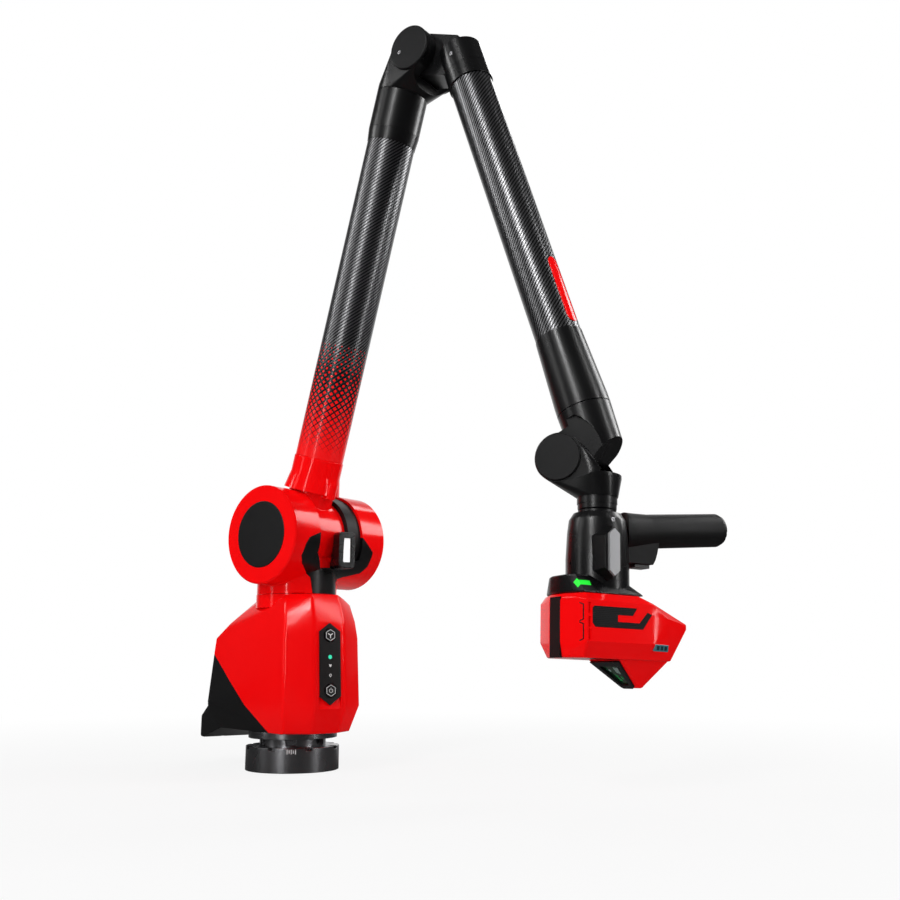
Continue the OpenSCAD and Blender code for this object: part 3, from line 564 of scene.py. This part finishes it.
rounding = {"base_housing": 0.0026, "rear_pod": 0.0028, "shoulder_fork": 0.0020, "shoulder_knuckle": 0.0014,
            "scanner_body": 0.0016, "scanner_cover": 0.0020, "elbow_fork": 0.0016, "forearm_head": 0.0014,
            "wrist_fork": 0.0016, "wrist_tongue_end": 0.0008, "grip": 0.0010, "elbow_caps": 0.0006,
            "wrist_caps": 0.0006, "shoulder_caps": 0.0010, "light_bezel": 0.0008, "fork_trim": 0.0008,
            "mount_ring": 0.0007, "mount_pillar": 0.0006}
edges = {
    "merge": 0.00003,
    "flat": math.radians(0.6),
    "sharp": math.radians(28),
    "fine": 0.0004,
    "steps": 3,
    # room that a rounding needs, as a share of its width
    "faceRoom": 2.2,
    "cornerRoom": 2.2,
    "sideRoom": 1.5,
    # an edge that runs straight on, and the limits that keep the sums finite (radians, sine)
    "straight": 2.4,
    "straightest": 3.1,
    "leastSine": 0.01,
}


# a sharp edge is rounded where its faces and the edges at both ends leave room
def weighEdges(bm, width, d):
    layer = bm.edges.layers.float.new("bevel_weight_edge")
    kept = {e for e in bm.edges if len(e.link_faces) == 2 and e.calc_face_angle(0) > d["sharp"]}

    def fits(e):
        start, along = e.verts[0].co, (e.verts[1].co - e.verts[0].co).normalized()
        for f in e.link_faces:
            if max((v.co - start).cross(along).length for v in f.verts) < d["faceRoom"] * width:
                return False
        return all(clears(e, v, k) for v in e.verts for k in v.link_edges if k is not e)

    def clears(e, v, k):
        turn = (e.other_vert(v).co - v.co).angle(k.other_vert(v).co - v.co, math.pi)
        if k in kept:
            room = d["cornerRoom"] * width / math.tan(min(turn, d["straightest"]) / 2)
            return min(e.calc_length(), k.calc_length()) >= room
        if not any(f in k.link_faces for f in e.link_faces):
            return True
        room = d["sideRoom"] * width / max(math.sin(turn), d["leastSine"])
        return turn <= d["straight"] and k.calc_length() >= room

    doubtful = set(kept)
    while doubtful:
        dropped = {e for e in doubtful if not fits(e)}
        kept -= dropped
        doubtful = {k for e in dropped for v in e.verts for k in v.link_edges if k in kept}
    for e in kept:
        e[layer] = 1.0


def dressNode(name, mat, d=edges):
    src = nodes[name]
    if name in hidden:
        src.data.materials.clear()
        src.data.materials.append(mat)
        return
    bm = bmesh.new()
    bm.from_mesh(src.data)
    bmesh.ops.remove_doubles(bm, verts=bm.verts, dist=d["merge"])
    bmesh.ops.dissolve_limit(bm, angle_limit=d["flat"], verts=bm.verts, edges=bm.edges)
    if name in rounding:
        weighEdges(bm, rounding[name], d)
    mesh = bpy.data.meshes.new("look_" + name)
    bm.to_mesh(mesh)
    bm.free()
    for p in mesh.polygons:
        p.use_smooth = True
    mesh.set_sharp_from_angle(angle=d["sharp"])
    mesh.materials.append(mat)
    ob = bpy.data.objects.new("look_" + name, mesh)
    scene.collection.objects.link(ob)
    if name in rounding:
        bend = ob.modifiers.new("rounding", "BEVEL")
        bend.width, bend.segments, bend.limit_method = rounding[name], d["steps"], "WEIGHT"
        bend.use_clamp_overlap, bend.loop_slide = False, False
    bev = ob.modifiers.new("edges", "BEVEL")
    bev.width, bev.segments = d["fine"], d["steps"]
    bev.limit_method, bev.angle_limit = "ANGLE", d["sharp"]
    bev.use_clamp_overlap, bev.harden_normals = True, False
    wn = ob.modifiers.new("normals", "WEIGHTED_NORMAL")
    wn.keep_sharp = False
    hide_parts(name)
    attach(ob, bodyOf[name])


for finish, names in wear.items():
    for n in names:
        dressNode(n, finishes[finish])
print("dressed", sum(len(names) for names in wear.values()), "nodes")

# carbon tubes as new skins with the cloth wound round them, measured along the roll joint's axis
tubes = {
    "upper_tube": {"joint": "upper_roll", "low": -0.4320, "high": -0.0590, "radius": 0.0276,
                   "wall": 0.003, "turns": 160, "red": redColour},
    "forearm_tube": {"joint": "forearm_roll", "low": -0.4077, "high": -0.0822, "radius": 0.0234,
                     "wall": 0.003, "turns": 136, "red": None},
}
winding = {"sides": 128, "seamTo": (-0.5925, 0.7827, 0.19), "sharp": math.radians(40)}


def makeTube(name, d, w=winding):
    j = joints[d["joint"]]
    axis = Vector(j["axis"]).normalized()
    start = Vector(j["pos_m"]) + axis * d["low"]
    back = Vector(w["seamTo"])
    seam = (back - axis * back.dot(axis)).normalized()
    side = axis.cross(seam)
    length, inner, sides = d["high"] - d["low"], d["radius"] - d["wall"], w["sides"]
    rings = [(d["radius"], 0), (d["radius"], length), (inner, length), (inner, 0)]
    verts, faces, uvs = [], [], []
    for r, h in rings:
        for k in range(sides):
            a = 2 * math.pi * k / sides
            verts.append(start + axis * h + (seam * math.cos(a) + side * math.sin(a)) * r)
    for q in range(len(rings)):
        after = (q + 1) % len(rings)
        low, high = rings[q][1], rings[after][1]
        for k in range(sides):
            n = (k + 1) % sides
            faces.append((q * sides + k, q * sides + n, after * sides + n, after * sides + k))
            ends = [(k, low), (k + 1, low), (k + 1, high), (k, high)]
            uvs.extend((2 * math.pi * d["radius"] * a / sides, h) for a, h in ends)
    mesh = bpy.data.meshes.new("cloth_" + name)
    mesh.from_pydata(verts, [], faces)
    layer = mesh.uv_layers.new(name="clothMetres")
    for k, uv in enumerate(uvs):
        layer.data[k].uv = uv
    for p in mesh.polygons:
        p.use_smooth = True
    mesh.set_sharp_from_angle(angle=w["sharp"])
    mesh.materials.append(twillMaterial(name + "Cloth", 2 * math.pi * d["radius"] / d["turns"], d["red"]))
    ob = bpy.data.objects.new("cloth_" + name, mesh)
    scene.collection.objects.link(ob)
    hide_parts(name)
    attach(ob, bodyOf[name])


for n, d in tubes.items():
    makeTube(n, d)
print("carbon tubes wound")

# flat figures laid on a face: each outline is a list of (right, up) points in millimetres
figure = {"thick": 0.3, "sink": 0.12, "edge": 0.00006, "edgeSteps": 2}


def makeFigure(name, outlines, place, finish, body, d=figure):
    origin, right, up = (Vector(v) for v in place)
    right, up = right.normalized(), up.normalized()
    out = right.cross(up).normalized()
    bm = bmesh.new()

    def ring(pts, level):
        return [bm.verts.new(origin + (right * x + up * y + out * level) * millimetre) for x, y in pts]

    for pts in outlines:
        low, top = ring(pts, -d["sink"]), ring(pts, d["thick"] - d["sink"])
        bm.faces.new(top)
        bm.faces.new(list(reversed(low)))
        for k in range(len(pts)):
            n = (k + 1) % len(pts)
            bm.faces.new((low[k], low[n], top[n], top[k]))
    bmesh.ops.recalc_face_normals(bm, faces=bm.faces)
    mesh = bpy.data.meshes.new(name)
    bm.to_mesh(mesh)
    bm.free()
    mesh.materials.append(finishes[finish])
    ob = bpy.data.objects.new(name, mesh)
    scene.collection.objects.link(ob)
    bev = ob.modifiers.new("edges", "BEVEL")
    bev.width, bev.segments = d["edge"], d["edgeSteps"]
    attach(ob, body)


def bar(x0, y0, x1, y1, width):
    d = Vector((x1 - x0, y1 - y0)).normalized() * width / 2
    return [(x0 + d.y, y0 - d.x), (x1 + d.y, y1 - d.x), (x1 - d.y, y1 + d.x), (x0 - d.y, y0 + d.x)]


def loop(radius, width, sides, start=90, sweep=360):
    parts = []
    for k in range(sides):
        a, b = (math.radians(start + sweep * (k + e) / sides) for e in (0, 1))
        corners = ((radius, a), (radius, b), (radius - width, b), (radius - width, a))
        parts.append([(r * math.cos(t), r * math.sin(t)) for r, t in corners])
    return parts


# control panel: outlined keys, a generic three-way figure, a power figure and two small marks
panel = {
    "origin": Vector((0.08037, -0.02767, 0.115)),
    "keyFace": 0.0024,
    "markFace": 0.0013,
    "modeLevel": 0.030,
    "powerLevel": -0.028,
    "markLevels": (-0.002, -0.012),
    "outline": (6.1, 0.55, 6),  # radius, line width, sides
    "armLength": 3.3,
    "armWidth": 0.9,
    "armTurns": (30, 150, 270),
    "powerRing": (2.3, 0.5, 14, 125, 290),  # radius, line width, sides, start, sweep
    "powerBar": (0, 0.6, 0, 2.9, 0.5),
    "shield": [(-1.4, 1.5), (0, 1.0), (1.4, 1.5), (1.2, -0.6), (0, -1.8), (-1.2, -0.6)],
    "bulb": (1.5, 0.45, 12),
    "bulbBars": [(0, -1.5, 0, -2.0, 0.9), (-0.5, 0.2, 0.5, 0.2, 0.4)],
}


def dressPanel(d):
    out = -Vector(joints["mode_press"]["axis"]).normalized()
    up = (Vector((0, 0, 1)) - out * out.z).normalized()
    right = up.cross(out)

    def at(level, depth):
        return d["origin"] + up * level + out * depth, right, up

    def arm(turn):
        a = math.radians(turn)
        return bar(0, 0, d["armLength"] * math.cos(a), d["armLength"] * math.sin(a), d["armWidth"])

    mode = loop(*d["outline"]) + [arm(turn) for turn in d["armTurns"]]
    makeFigure("mode_figure", mode, at(d["modeLevel"], d["keyFace"]), "whitePrint", bodyOf["mode_button"])
    power = loop(*d["outline"]) + loop(*d["powerRing"]) + [bar(*d["powerBar"])]
    makeFigure("power_figure", power, at(d["powerLevel"], d["keyFace"]), "whitePrint", bodyOf["power_button"])
    bulb = loop(*d["bulb"]) + [bar(*b) for b in d["bulbBars"]]
    for k, mark in enumerate(([d["shield"]], bulb)):
        place = at(d["markLevels"][k], d["markFace"])
        makeFigure("panel_mark_%d" % k, mark, place, "whitePrint", bodyOf["control_panel"])


dressPanel(panel)

# scanner: grooves on the slanting front face drawn dark as painted shade, cells in the sensor window, painted
# glints and green painted reflections in the lens
# front, top and seamRise are metres, the rest is millimetres and degrees
scanner = {
    "front": 0.050, "top": 0.129, "seamRise": 0.0486,
    "nose": (4.4, 10.4), "corner": (12.6, 40.0), "height": 57.0,
    # dark bars laid as painted shade of the grooves
    "grooveBars": [(0, -6.5, 0, 6.5, 1.3), (-4.6, 8.0, 0.4, 6.3, 1.0), (-4.6, -8.0, 0.4, -6.3, 1.0)],
    "grooveLevels": (17.5, 34.5), "grooveInset": 4.5,
    "sensor": (94.0, 35.8, 45.6), "sensorTurn": (9.7, 14.6), "sensorFace": 1.5,
    "cellHalf": 1.8, "cellPlaces": (-5.4, 0, 5.4),
    "lensStart": 57.0, "lensRun": 29.0, "lensDrop": 24.5,
    # painted reflections on the lens glass: pale glints and green reflections
    "glint": [[(-9, 2.5), (-2, 1.5), (0, 5.5), (-8, 9.5)], [(-6, -8), (-3, -6.8), (-4, -4.5), (-7, -5)]],
    "greenReflections": [[(1, -4.5), (9, -3.4), (10, -1.0), (2, -1.5)], [(3, 2), (7, 2.2), (6.5, 4), (3.4, 4)]],
}


def dressScanner(d):
    seam = Vector(joints["hand_roll"]["pos_m"]) - handDown * d["seamRise"]
    zero = seam + handDown * d["top"] - handAlong * d["front"]

    def spot(x, y, z):
        return zero + (handAlong * x + handNear * y + handDown * z) * millimetre

    corner = Vector(d["corner"])
    run = (corner - Vector(d["nose"])).normalized()
    right = handAlong * run.x + handNear * run.y
    # the grooves are drawn as dark flat figures on the red face, not cut: painted shade in the grooves
    grooveShade = [bar(*b) for b in d["grooveBars"]]
    middle = corner - run * d["grooveInset"]
    for k, level in enumerate(d["grooveLevels"]):
        place = (spot(middle.x, middle.y, level), right, -handDown)
        makeFigure("groove_%d" % k, grooveShade, place, "blackGloss", bodyOf["scanner_body"])

    tilt, turn = (math.radians(a) for a in d["sensorTurn"])
    flat = handAlong * math.cos(turn) - handNear * math.sin(turn)
    level = handAlong * math.sin(turn) + handNear * math.cos(turn)
    out = level * math.cos(tilt) + handDown * math.sin(tilt)
    h = d["cellHalf"]
    cells = [[(x - h, -h), (x + h, -h), (x + h, h), (x - h, h)] for x in d["cellPlaces"]]
    place = (spot(*d["sensor"]) + out * d["sensorFace"] * millimetre, flat, out.cross(flat))
    makeFigure("sensor_cells", cells, place, "sensorCell", bodyOf["sensor_window"])

    slope = math.atan2(d["lensDrop"], d["lensRun"])
    down = handAlong * math.cos(slope) + handDown * math.sin(slope)
    centre = spot(d["lensStart"] + d["lensRun"] / 2, 0, d["height"] + d["lensDrop"] / 2)
    # painted glints and green painted reflections laid on the lens
    makeFigure("lens_glint", d["glint"], (centre, down, handNear), "lensGlint", bodyOf["lens"])
    makeFigure("lens_green_reflection", d["greenReflections"], (centre, down, handNear), "lensGreenReflection", bodyOf["lens"])


dressScanner(scanner)

# scale marks on the rim of the mount ring, long and short in turn
ticks = {
    "radius": 0.0515,
    "level": 0.0225,
    "turns": (-51, -48.5, -46, -43.5, -41),
    "halves": (2.5, 1.5625),
    "width": 0.8,
}


def dressRing(d):
    up = Vector((0, 0, 1))
    for k, turn in enumerate(d["turns"]):
        a = math.radians(turn)
        out = Vector((math.cos(a), math.sin(a), 0))
        h = d["halves"][k % 2]
        place = (out * d["radius"] + up * d["level"], up.cross(out), up)
        makeFigure("tick_%d" % k, [bar(0, -h, 0, h, d["width"])], place, "whitePrint", bodyOf["mount_ring"])


dressRing(ticks)
print("figures laid")
